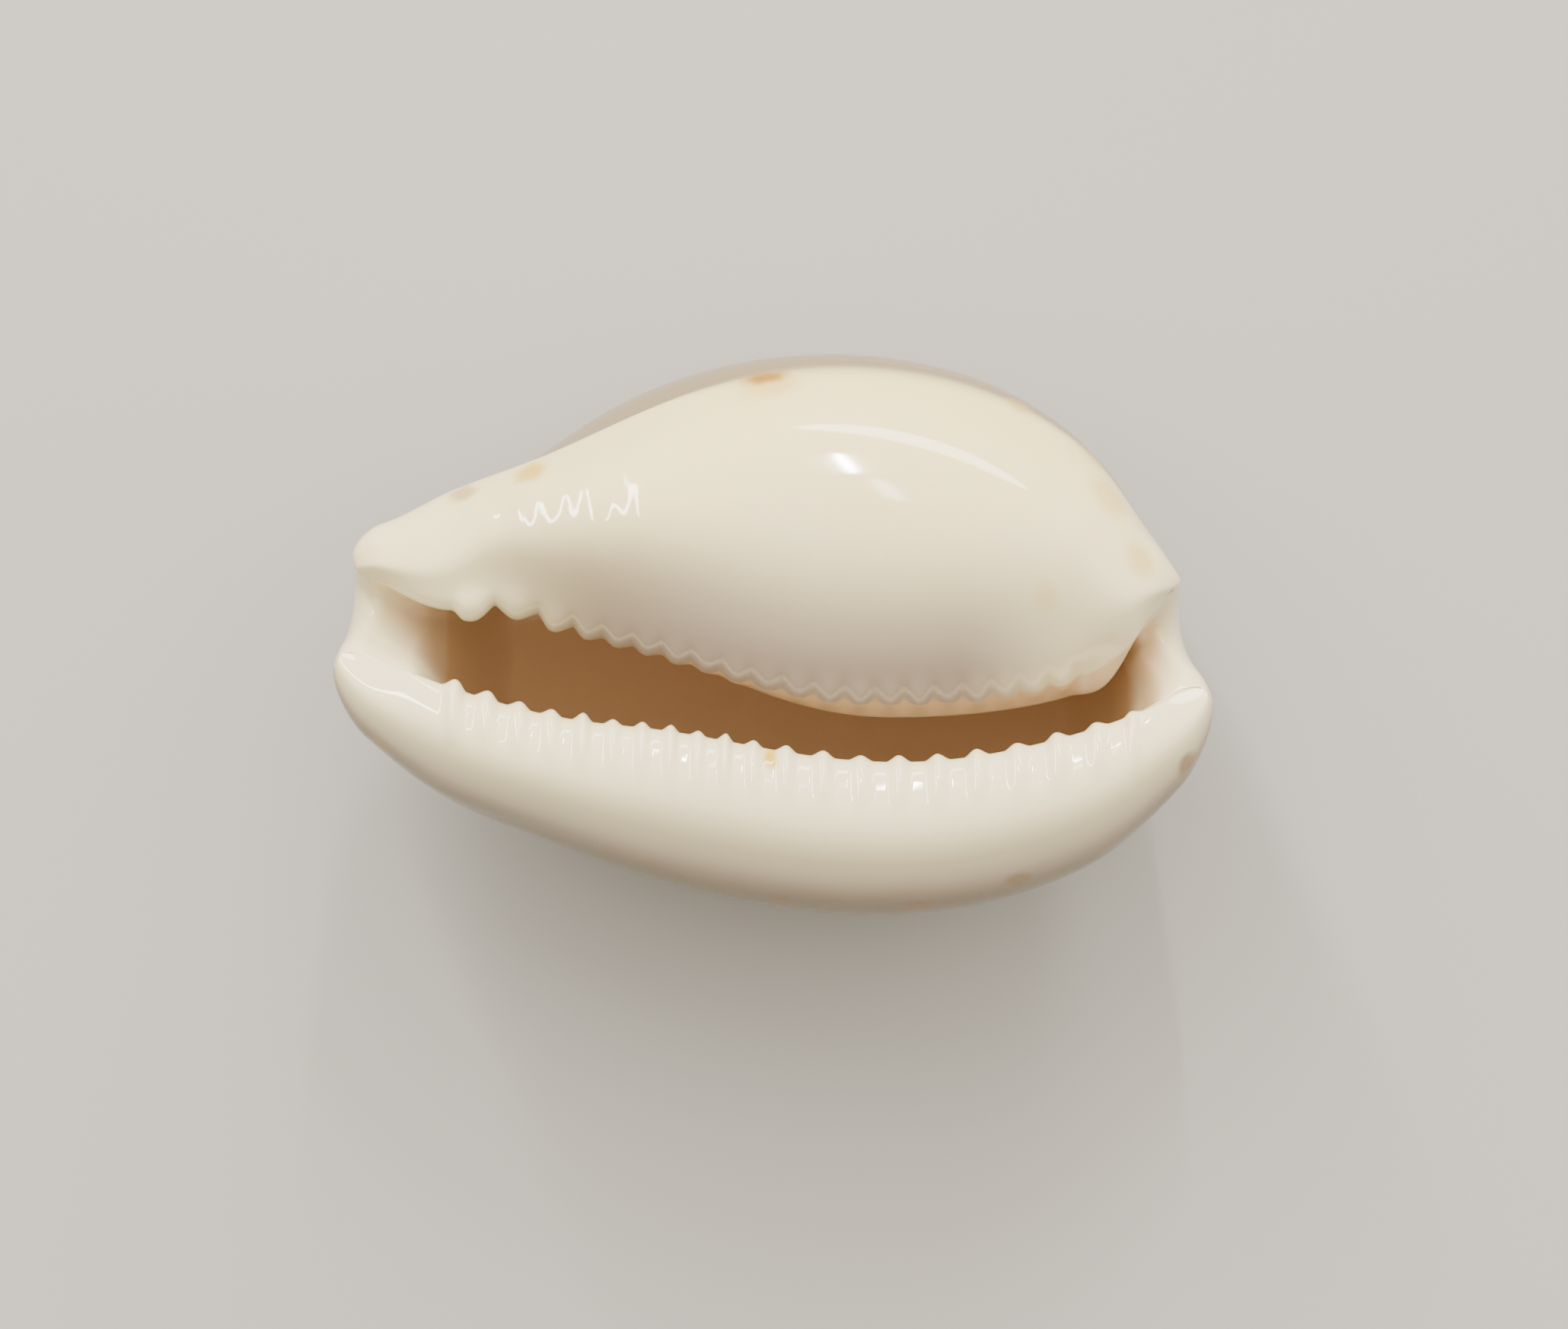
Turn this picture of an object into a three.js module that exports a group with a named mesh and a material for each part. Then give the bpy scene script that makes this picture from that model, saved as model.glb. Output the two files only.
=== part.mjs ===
// A small cowrie shell, lying on its back with the toothed slit of its mouth upwards.
// The shell is one rolled sheet: it runs from the outer lip, under the back of the shell
// and up the other side to the inner lip, and is open in a short gutter at each end.
// Millimetres. +X points to the back end, +Y to the inner lip's side, +Z up.
import * as THREE from 'three';

// The sheet is drawn by rails that run the length of the shell. Each list below gives one
// measure at each station, and a smooth curve joins its values.
const STATION = [-15, -13.6, -11.2, -9.5, -8, -6, -4, 0.5, 5, 9, 12, 14.1, 15.05];

// How far along the shell the inner lip's side and the back lie at each station.
const INNER_X = [-14.3, -13.1, -10.9, -9.35, -7.95, -6, -4, 0.5, 5, 8.9, 11.6, 13.15, 13.9];
const BACK_X = [-14.4, -13, -10.7, -9.15, -7.8, -5.9, -3.9, 0.5, 4.9, 8.7, 11.4, 13.2, 14.05];

// Distances across the shell.
const OUTER_MARGIN_Y = [
  -2.5, -3.8, -5.62, -6.43, -7.0, -7.78, -8.45, -9.45, -9.62, -8.78, -7.17, -5.05, -3.95,
];
const OUTER_LIP_Y = [
  -0.6, -1.15, -1.8, -2.3, -2.7, -3.05, -3.27, -4.05, -4.37, -3.77, -2.9, -2.15, -1.8,
];
const INNER_LIP_Y = [1.9, 1.5, 0.75, 0.9, 0.62, -0.1, -0.65, -1.95, -2.27, -1.87, -0.85, 0.65, 1.4];
const RIDGE_EDGE_Y = [3.35, 3.75, 4.7, 5.31, 5.85, 6.72, 7.62, 8.9, 8.8, 7.45, 5.2, 3.0, 2.2];
const BODY_MARGIN_Y = [2.8, 3.05, 3.9, 4.98, 6.1, 7.48, 8.48, 9.52, 9.27, 7.78, 5.35, 2.95, 1.9];
const BACK_Y = [0.6, 0.4, 0, -0.1, -0.15, -0.2, -0.2, -0.2, -0.2, -0.3, -0.4, -0.6, -0.7];

// Heights above the table.
const OUTER_TOP_Z = [12.6, 12.95, 13.5, 13.78, 13.95, 14.1, 14.2, 14.3, 14.25, 14, 13.55, 12.95, 12.6];
const INNER_TOP_Z = [12.5, 12.9, 13.55, 13.9, 14.15, 14.35, 14.5, 14.6, 14.5, 14.15, 13.6, 12.95, 12.4];
const OUTER_MARGIN_Z = [10.9, 10.6, 9.8, 9.4, 9.2, 9, 8.8, 8.7, 8.8, 9.1, 9.7, 10.5, 10.9];
const RIDGE_EDGE_Z = [11.3, 11.15, 10.9, 10.83, 10.8, 10.7, 10.6, 10.4, 10.4, 10.5, 10.7, 11, 11.2];
const BODY_MARGIN_Z = [10.3, 9.9, 8.8, 8.18, 7.8, 7.45, 7.2, 7, 7, 7.4, 8.4, 9.7, 10.2];

// The back is an ellipse along the shell, with a flat rubbed spot that the shell rests on.
const BACK_RISE = 10.6;
const BACK_MIDDLE_X = 0.6;
const BACK_FRONT_REACH = 15.7;
const BACK_REAR_REACH = 14.6;
const FLAT_DEPTH = 0.2;
// The share of a quarter of the back, across and up, at its halfway rail.
const QUARTER_ACROSS = 0.77;
const QUARTER_UP = 0.36;

// Walls, and how the lips roll in.
const BACK_WALL = 1.25;
const BODY_WALL = 1.7;
const OUTER_WALL = 2.1;
const HOLLOW_MIDDLE_Z = 7.4;
const OUTER_LIP_DROP = 1.15;
const INNER_LIP_DROP = 1.9;
const OUTER_END_DROP = 0.5;
const INNER_END_DROP = 0.6;
// In front of this distance from the middle, the inner lip rises towards its end.
const LIP_RISES = 6;

// The gutters at the two ends, and the rims that round over there.
const GUTTER_MIDDLE_X = 0.5;
const GUTTER_STARTS = 9.8;
const GUTTER_FULL = 12.9;
const GUTTER_WALL = 1.6;
const GUTTER_END_DEPTH = 1.1;
const GUTTER_DEEPENS = 0.45;
const GUTTER_SHARES = [0.04, 0.08, 0.15, 0.27, 0.43, 0.6, 0.69, 0.76, 0.85, 0.93, 0.97];
const RIM_ROUND = 1.15;
// At the very ends the lips stand back from the tips by this much.
const LIP_SET_BACK = 0.45;
const SET_BACK_STARTS = 12.2;
const TIP = 15;

// The teeth on both lips. The inner lip's are tallest at the front end.
const TEETH = 21;
const FIRST_TOOTH_X = -10.9;
const LAST_TOOTH_X = 12.1;
const OUTER_TOOTH_HEIGHT = 0.22;
const INNER_FRONT_TOOTH_HEIGHT = 0.55;
const INNER_REAR_TOOTH_HEIGHT = 0.17;

// How many faces each stretch of the sheet has across, from the outer lip to the inner lip.
const FACES_ACROSS = [2, 2, 2, 2, 4, 4, 2, 1, 2, 2, 1, 2];
const RINGS_PER_TOOTH = 3;

const PORCELAIN = { color: 0xebe3d0, roughness: 0.22, metalness: 0 };

const mix = (a, b, share) => a + (b - a) * share;

function smoothStep(from, to, value) {
  const share = THREE.MathUtils.clamp((value - from) / (to - from), 0, 1);
  return share * share * (3 - 2 * share);
}

// A curve with no jump in its bend, through every value at its knot.
function smoothCurve(knots, values) {
  const last = knots.length - 1;
  const bend = knots.map(() => 0);
  const carry = knots.map(() => 0);
  for (let i = 1; i < last; i++) {
    const before = knots[i] - knots[i - 1];
    const after = knots[i + 1] - knots[i];
    const share = before / (before + after);
    const pivot = share * carry[i - 1] + 2;
    const turn = (values[i + 1] - values[i]) / after - (values[i] - values[i - 1]) / before;
    carry[i] = (share - 1) / pivot;
    bend[i] = ((6 * turn) / (before + after) - share * bend[i - 1]) / pivot;
  }
  for (let i = last - 1; i >= 0; i--) {
    bend[i] += carry[i] * bend[i + 1];
  }
  return (at) => {
    let i = 0;
    while (i < last - 1 && at > knots[i + 1]) {
      i++;
    }
    const gap = knots[i + 1] - knots[i];
    const a = (knots[i + 1] - at) / gap;
    const b = 1 - a;
    const straight = a * values[i] + b * values[i + 1];
    return straight + (((a ** 3 - a) * bend[i] + (b ** 3 - b) * bend[i + 1]) * gap * gap) / 6;
  };
}

// A closed curve through its points: the ends are wound on past each other, so that
// they join smoothly.
function closedCurve(knots, round, points) {
  const wound = 4;
  const axes = ['x', 'y', 'z'].map((axis) => {
    const values = points.map((point) => point[axis]);
    const allKnots = [
      ...knots.slice(-wound).map((knot) => knot - round),
      ...knots,
      ...knots.slice(0, wound).map((knot) => knot + round),
    ];
    const allValues = [...values.slice(-wound), ...values, ...values.slice(0, wound)];
    return smoothCurve(allKnots, allValues);
  });
  return (at) => new THREE.Vector3(axes[0](at), axes[1](at), axes[2](at));
}

const rail = (values) => smoothCurve(STATION, values);
const rails = {
  innerX: rail(INNER_X),
  backX: rail(BACK_X),
  outerMarginY: rail(OUTER_MARGIN_Y),
  outerLipY: rail(OUTER_LIP_Y),
  innerLipY: rail(INNER_LIP_Y),
  ridgeEdgeY: rail(RIDGE_EDGE_Y),
  bodyMarginY: rail(BODY_MARGIN_Y),
  backY: rail(BACK_Y),
  outerTopZ: rail(OUTER_TOP_Z),
  innerTopZ: rail(INNER_TOP_Z),
  outerMarginZ: rail(OUTER_MARGIN_Z),
  ridgeEdgeZ: rail(RIDGE_EDGE_Z),
  bodyMarginZ: rail(BODY_MARGIN_Z),
};

function backZ(x) {
  const reach = x < BACK_MIDDLE_X ? BACK_FRONT_REACH : BACK_REAR_REACH;
  const share = (x - BACK_MIDDLE_X) / reach;
  return BACK_RISE * (1 - Math.sqrt(1 - share * share)) - FLAT_DEPTH;
}

// 1 at the middle of a tooth, 0 between two teeth and past the last ones.
function toothWave(station) {
  const pitch = (LAST_TOOTH_X - FIRST_TOOTH_X) / (TEETH - 1);
  const phase = (station - FIRST_TOOTH_X) / pitch;
  const inside = phase > -0.5 && phase < TEETH - 0.5;
  return inside ? 0.5 + 0.5 * Math.cos(2 * Math.PI * phase) : 0;
}

// The 13 rails of the outside at one station, from the outer lip to the inner lip.
function outsidePoints(station, canal) {
  const at = (name) => rails[name](station);
  const point = (x, y, z) => new THREE.Vector3(x, y, z);
  const outerTooth = OUTER_TOOTH_HEIGHT * toothWave(station);
  const towardsRear = smoothStep(-10.5, -4, station);
  const innerToothHeight = mix(INNER_FRONT_TOOTH_HEIGHT, INNER_REAR_TOOTH_HEIGHT, towardsRear);
  const innerTooth = innerToothHeight * toothWave(station);
  const rises = smoothStep(LIP_RISES, GUTTER_FULL, -station);
  const setBack = LIP_SET_BACK * smoothStep(SET_BACK_STARTS, TIP, Math.abs(station));
  const end = Math.sign(station);
  const outerX = (share) => station - end * share * setBack;
  const innerX = (share) => at('innerX') - end * share * setBack;
  const outerLip = point(
    outerX(1),
    at('outerLipY') + outerTooth,
    at('outerTopZ') - mix(OUTER_LIP_DROP, OUTER_END_DROP, canal),
  );
  const innerLip = point(
    innerX(0.8),
    at('innerLipY') - innerTooth,
    at('innerTopZ') - mix(INNER_LIP_DROP, INNER_END_DROP, Math.max(canal, rises)),
  );
  const outerMargin = point(station, at('outerMarginY'), at('outerMarginZ'));
  const back = point(at('backX'), at('backY'), backZ(at('backX')));
  const bodyMargin = point(at('innerX'), at('bodyMarginY'), at('bodyMarginZ'));
  const ridgeEdge = point(at('innerX'), at('ridgeEdgeY'), at('ridgeEdgeZ'));
  const outerWidth = outerLip.y - outerMargin.y;
  const innerWidth = ridgeEdge.y - innerLip.y;
  const innerFall = at('innerTopZ') - ridgeEdge.z;
  const outerFall = at('outerTopZ') - outerMargin.z;
  const marginZ = mix(outerMargin.z, bodyMargin.z, 0.5);
  const quarter = (side) => point(
    mix(back.x, side.x, 0.6),
    mix(back.y, side.y, QUARTER_ACROSS),
    mix(back.z, marginZ, QUARTER_UP),
  );
  return [
    outerLip,
    point(outerX(0.6), outerLip.y - 0.41 * outerWidth, at('outerTopZ')),
    point(outerX(0.15), outerLip.y - 0.82 * outerWidth, at('outerTopZ') - 0.31 * outerFall),
    outerMargin,
    quarter(outerMargin),
    back,
    quarter(bodyMargin),
    bodyMargin,
    ridgeEdge,
    point(at('innerX'), ridgeEdge.y - 0.18 * innerWidth, ridgeEdge.z + 0.68 * innerFall),
    point(innerX(0.3), ridgeEdge.y - mix(0.48, 0.58, canal) * innerWidth, at('innerTopZ')),
    point(
      innerX(0.6),
      innerLip.y + 0.17 * innerWidth,
      mix(innerLip.z, at('innerTopZ'), mix(0.6, 0.78, canal)),
    ),
    innerLip,
  ];
}

// A rail of the hollow: the outside rail, moved in towards the middle of the hollow.
function inwards(outside, middle, wall) {
  const way = new THREE.Vector3(0, middle.y - outside.y, middle.z - outside.z).normalize();
  return outside.clone().addScaledVector(way, wall);
}

// The 11 rails of the inside of the body, in the same order as the outside's.
function hollowPoints(outside, station) {
  const outerLip = outside[0];
  const innerLip = outside[12];
  const middle = new THREE.Vector3(0, outside[5].y, HOLLOW_MIDDLE_Z);
  const fromOuterLip = (y, z) => outerLip.clone().add(new THREE.Vector3(0, y, z));
  const fromInnerLip = (y, z) => innerLip.clone().add(new THREE.Vector3(0, y, z));
  const underRidge = inwards(outside[8], middle, BODY_WALL + 0.7);
  const width = underRidge.y - innerLip.y;
  const ledge = smoothStep(10.2, 12.4, station);
  return [
    fromOuterLip(-1.15, -1.55),
    fromOuterLip(-2.5, -2.6),
    inwards(outside[3], middle, OUTER_WALL),
    inwards(outside[4], middle, BACK_WALL + 0.25),
    inwards(outside[5], middle, BACK_WALL),
    inwards(outside[6], middle, BACK_WALL + 0.15),
    inwards(outside[7], middle, BODY_WALL),
    underRidge,
    fromInnerLip(0.6 * width, -2.3),
    fromInnerLip(0.2 * width, -2.75),
    fromInnerLip(0.15 - 0.75 * smoothStep(-5, 4, station) - 0.9 * ledge, -1.4 + 0.5 * ledge),
  ];
}

// The same 11 rails where the inside is only a gutter: a gentle slope down from the outer
// lip and a steep one up to the inner lip. It deepens inwards, as far as the back allows.
function gutterPoints(outside, station) {
  const from = outside[0];
  const to = outside[12];
  const fromTip = Math.max(TIP - Math.abs(station), 0);
  const deepest = mix(from.z, to.z, 0.5) - outside[5].z - GUTTER_WALL;
  const depth = Math.min(GUTTER_END_DEPTH + GUTTER_DEEPENS * fromTip ** 1.6, deepest);
  return GUTTER_SHARES.map((share, i) => {
    const over = Math.sin((Math.PI * share) / 2) ** 0.9;
    const down = depth * Math.sin(Math.PI * share ** 1.2) ** mix(1, 0.8, over);
    const point = new THREE.Vector3().lerpVectors(from, to, over);
    point.z -= down;
    point.x = mix(outside[i + 1].x, point.x, 0.25);
    return point;
  });
}

// One closed ring of the sheet: the outside rails, then the inside rails back again.
function ringPoints(station) {
  const canal = smoothStep(GUTTER_STARTS, GUTTER_FULL, Math.abs(station - GUTTER_MIDDLE_X));
  const outside = outsidePoints(station, canal);
  const hollow = hollowPoints(outside, station);
  const gutter = gutterPoints(outside, station);
  const inside = hollow.map((point, i) => point.lerp(gutter[i], canal));
  return [...outside, ...inside.reverse()];
}

function ringKnots() {
  const points = ringPoints(BACK_MIDDLE_X);
  const knots = [0];
  for (let i = 1; i <= points.length; i++) {
    knots.push(knots[i - 1] + points[i % points.length].distanceTo(points[i - 1]));
  }
  return knots;
}

// Both sides of the sheet at one station, closed in to its middle by the share `thin`
// where the rim rounds over.
function ring(station, thin, knots) {
  const round = knots[knots.length - 1];
  const curve = closedCurve(knots.slice(0, -1), round, ringPoints(station));
  const outside = [];
  const inside = [];
  FACES_ACROSS.forEach((faces, i) => {
    const innerFrom = knots.length - 1 - i;
    for (let j = 0; j < faces; j++) {
      outside.push(curve(mix(knots[i], knots[i + 1], j / faces)));
      inside.push(curve(mix(knots[innerFrom], knots[innerFrom - 1], j / faces)));
    }
  });
  outside.push(curve(knots[FACES_ACROSS.length]));
  inside.push(outside[outside.length - 1].clone());
  outside.forEach((point, i) => {
    const middle = point.clone().add(inside[i]).multiplyScalar(0.5);
    point.lerpVectors(middle, point, thin);
    inside[i].lerpVectors(middle, inside[i], thin);
  });
  const loop = [...outside, ...inside.slice(1, -1).reverse()];
  loop.forEach((point) => {
    point.z = Math.max(point.z, 0);
  });
  return loop;
}

// Stations of the rings: close together where the rims round over, then three to a tooth.
function ringStations() {
  const front = STATION[0];
  const rear = STATION[STATION.length - 1];
  const pitch = (LAST_TOOTH_X - FIRST_TOOTH_X) / (TEETH - 1);
  const stations = [];
  const rim = [0, 0.06, 0.25, 0.55, 1];
  rim.forEach((share) => stations.push({ at: front + share * RIM_ROUND, rim: share }));
  for (const at of [-13, -12.3, -11.6]) {
    stations.push({ at, rim: 1 });
  }
  for (let i = 0; i <= (TEETH - 1) * RINGS_PER_TOOTH; i++) {
    stations.push({ at: FIRST_TOOTH_X + (i * pitch) / RINGS_PER_TOOTH, rim: 1 });
  }
  for (const at of [12.6, 13.2]) {
    stations.push({ at, rim: 1 });
  }
  rim.toReversed().forEach((share) => stations.push({ at: rear - share * RIM_ROUND, rim: share }));
  return stations;
}

function shellGeometry() {
  const knots = ringKnots();
  const rings = ringStations().map(({ at, rim }) => ring(at, Math.sqrt(rim * (2 - rim)), knots));
  const around = rings[0].length;
  const positions = rings.flat().flatMap((point) => point.toArray());
  const index = [];
  for (let i = 0; i < rings.length - 1; i++) {
    for (let j = 0; j < around; j++) {
      const a = i * around + j;
      const b = i * around + ((j + 1) % around);
      index.push(a, b, a + around, b, b + around, a + around);
    }
  }
  const geometry = new THREE.BufferGeometry();
  geometry.setAttribute('position', new THREE.Float32BufferAttribute(positions, 3));
  geometry.setIndex(index);
  return geometry;
}

const shell = new THREE.Mesh(shellGeometry(), new THREE.MeshStandardMaterial(PORCELAIN));
shell.name = 'shell';

const cowrie = new THREE.Group();
cowrie.add(shell);

export default cowrie;
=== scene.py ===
import math

import bpy
import numpy as np
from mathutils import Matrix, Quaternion, Vector


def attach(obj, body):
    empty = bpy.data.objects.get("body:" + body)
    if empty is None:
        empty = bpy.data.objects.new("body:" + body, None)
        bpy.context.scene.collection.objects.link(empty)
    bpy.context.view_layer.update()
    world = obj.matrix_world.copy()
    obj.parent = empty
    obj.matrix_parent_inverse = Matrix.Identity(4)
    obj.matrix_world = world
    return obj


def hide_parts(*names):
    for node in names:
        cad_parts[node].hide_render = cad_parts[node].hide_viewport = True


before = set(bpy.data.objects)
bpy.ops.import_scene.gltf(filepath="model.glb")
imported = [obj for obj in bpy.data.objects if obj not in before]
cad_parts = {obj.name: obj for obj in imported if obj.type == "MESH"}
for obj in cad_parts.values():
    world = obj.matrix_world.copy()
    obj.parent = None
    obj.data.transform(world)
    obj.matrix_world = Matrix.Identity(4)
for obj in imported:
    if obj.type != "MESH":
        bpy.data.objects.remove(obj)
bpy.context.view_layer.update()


# ---- The shell -------------------------------------------------------------------------
# A small cowrie, grown in one piece: a sheet of hard glossy aragonite rolled up lengthwise,
# so that its two edges meet as thick lips along the mouth, with a gutter at each end.
# It lies on its back, with its front end towards -X and its inner lip on the +Y side.

MM = 0.001

# Sizes in millimetres at each station along the shell. The sheet is drawn by rails that
# run the length of the shell, and a smooth curve joins the values of each list.
STATION = [-15, -13.6, -11.2, -9.5, -8, -6, -4, 0.5, 5, 9, 12, 14.1, 15.05]
INNER_X = [-14.3, -13.1, -10.9, -9.35, -7.95, -6, -4, 0.5, 5, 8.9, 11.6, 13.15, 13.9]
BACK_X = [-14.4, -13, -10.7, -9.15, -7.8, -5.9, -3.9, 0.5, 4.9, 8.7, 11.4, 13.2, 14.05]
OUTER_MARGIN_Y = [-2.5, -3.8, -5.62, -6.43, -7.0, -7.78, -8.45, -9.45, -9.62, -8.78, -7.17, -5.05, -3.95]
OUTER_LIP_Y = [-0.6, -1.15, -1.8, -2.3, -2.7, -3.05, -3.27, -4.05, -4.37, -3.77, -2.9, -2.15, -1.8]
INNER_LIP_Y = [1.9, 1.5, 0.75, 0.9, 0.62, -0.1, -0.65, -1.95, -2.27, -1.87, -0.85, 0.65, 1.4]
RIDGE_EDGE_Y = [3.35, 3.75, 4.7, 5.31, 5.85, 6.72, 7.62, 8.9, 8.8, 7.45, 5.2, 3.0, 2.2]
BODY_MARGIN_Y = [2.8, 3.05, 3.9, 4.98, 6.1, 7.48, 8.48, 9.52, 9.27, 7.78, 5.35, 2.95, 1.9]
BACK_Y = [0.6, 0.4, 0, -0.1, -0.15, -0.2, -0.2, -0.2, -0.2, -0.3, -0.4, -0.6, -0.7]
OUTER_TOP_Z = [12.6, 12.95, 13.5, 13.78, 13.95, 14.1, 14.2, 14.3, 14.25, 14, 13.55, 12.95, 12.6]
INNER_TOP_Z = [12.5, 12.9, 13.55, 13.9, 14.15, 14.35, 14.5, 14.6, 14.5, 14.15, 13.6, 12.95, 12.4]
OUTER_MARGIN_Z = [10.9, 10.6, 9.8, 9.4, 9.2, 9, 8.8, 8.7, 8.8, 9.1, 9.7, 10.5, 10.9]
RIDGE_EDGE_Z = [11.3, 11.15, 10.9, 10.83, 10.8, 10.7, 10.6, 10.4, 10.4, 10.5, 10.7, 11, 11.2]
BODY_MARGIN_Z = [10.3, 9.9, 8.8, 8.18, 7.8, 7.45, 7.2, 7, 7, 7.4, 8.4, 9.7, 10.2]

# The back is an ellipse along the shell, rubbed flat at the spot that the shell rests on.
BACK_RISE = 10.6
BACK_MIDDLE_X = 0.6
BACK_FRONT_REACH = 15.7
BACK_REAR_REACH = 14.6
FLAT_DEPTH = 0.2
QUARTER_ACROSS = 0.77
QUARTER_UP = 0.36

# Walls, and how the lips roll in.
BACK_WALL = 1.25
BODY_WALL = 1.7
OUTER_WALL = 2.1
HOLLOW_MIDDLE_Z = 7.4
OUTER_LIP_DROP = 1.15
INNER_LIP_DROP = 1.9
OUTER_END_DROP = 0.5
INNER_END_DROP = 0.6
LIP_RISES = 6

# How the inside runs on from the lips. Two rails past the outer lip's edge, each moved across
# and up, and two past the inner lip's edge, each moved by a share of the ridge's width and up.
OUTER_ROLL = [(-1.15, -1.55), (-2.5, -2.6)]
INNER_ROLL = [(0.6, -2.3), (0.2, -2.75)]
# Below its edge the inner lip has a foot, which leans out over the mouth towards the rear and
# ends in a low ledge. The foot and the ledge are moves across and up.
INNER_FOOT = (0.15, -1.4)
FOOT_LEANS = 0.75
FOOT_LEANS_BETWEEN = (-5, 4)
LEDGE = (-0.9, 0.5)
LEDGE_BETWEEN = (10.2, 12.4)
# How much thicker the wall is under the inner lip's ridge and beside the back.
RIDGE_THICKER = 0.7
OUTER_QUARTER_THICKER = 0.25
BODY_QUARTER_THICKER = 0.15

# The gutters at the two ends, and the rims that round over there.
GUTTER_MIDDLE_X = 0.5
GUTTER_STARTS = 9.8
GUTTER_FULL = 12.9
GUTTER_WALL = 1.6
GUTTER_END_DEPTH = 1.1
GUTTER_DEEPENS = 0.45
GUTTER_SHARES = [0.04, 0.08, 0.15, 0.27, 0.43, 0.6, 0.69, 0.76, 0.85, 0.93, 0.97]
RIM_ROUND = 1.15
LIP_SET_BACK = 0.45
SET_BACK_STARTS = 12.2
TIP = 15

# How closely the surface is drawn.
RIM_RINGS = 22
BODY_RINGS = 466
FACES_TO_RAIL = [
    (1, 13), (2, 9), (3, 6), (4, 7), (5, 7), (6, 7), (7, 6),
    (7.8, 4), (8.15, 7), (9, 5), (10, 6), (11, 6), (12, 12),
]


def mix(a, b, share):
    return a + (b - a) * share


def smooth_step(start, end, value):
    share = np.clip((value - start) / (end - start), 0, 1)
    return share * share * (3 - 2 * share)


def smooth_weights(knots, at):
    """How much the value at each knot counts at each place on the smoothest curve through them all."""
    knots = np.asarray(knots, float)
    gaps = np.diff(knots)
    count = len(knots)
    balance = np.eye(count)
    turn = np.zeros((count, count))
    for i in range(1, count - 1):
        balance[i, i - 1:i + 2] = gaps[i - 1], 2 * (gaps[i - 1] + gaps[i]), gaps[i]
        turn[i, i - 1:i + 2] = 6 / gaps[i - 1], -6 / gaps[i - 1] - 6 / gaps[i], 6 / gaps[i]
    bends = np.linalg.solve(balance, turn)
    span = np.clip(np.searchsorted(knots, at, side="right") - 1, 0, count - 2)
    gap = gaps[span]
    a = (knots[span + 1] - at) / gap
    b = 1 - a
    weights = ((a**3 - a) * gap**2 / 6)[:, None] * bends[span]
    weights += ((b**3 - b) * gap**2 / 6)[:, None] * bends[span + 1]
    places = np.arange(len(at))
    weights[places, span] += a
    weights[places, span + 1] += b
    return weights


def closed_weights(knots, around, at):
    """The same for a closed curve, whose knots are wound on past each other at its ends."""
    wound = 4
    count = len(knots)
    order = np.arange(-wound, count + wound)
    wound_knots = np.asarray(knots)[order % count] + (order // count) * around
    weights = smooth_weights(wound_knots, at)
    folded = np.zeros((len(at), count))
    for column, knot in enumerate(order % count):
        folded[:, knot] += weights[:, column]
    return folded


def ring_stations():
    """Stations of the rings, and how far each is through the rounding of its rim, from 0 to 1."""
    turn = np.linspace(0, math.pi / 2, RIM_RINGS)
    rim = 1 - np.cos(turn)
    front = STATION[0] + RIM_ROUND * rim
    rear = STATION[-1] - RIM_ROUND * rim[::-1]
    body = np.linspace(front[-1], rear[0], BODY_RINGS + 2)[1:-1]
    stations = np.concatenate([front, body, rear])
    thin = np.concatenate([np.sin(turn), np.ones(BODY_RINGS), np.sin(turn[::-1])])
    return stations, thin


stations, rim_thin = ring_stations()
rail_weights = smooth_weights(STATION, stations)


def rail(values):
    return rail_weights @ np.array(values, float)


def place(x, y, z):
    return np.stack([x, y, z], axis=-1)


def back_height(x):
    """The height of the back's lowest line, which is below 0 where it is rubbed flat."""
    reach = np.where(x < BACK_MIDDLE_X, BACK_FRONT_REACH, BACK_REAR_REACH)
    share = (x - BACK_MIDDLE_X) / reach
    return BACK_RISE * (1 - np.sqrt(1 - share * share)) - FLAT_DEPTH


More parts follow.
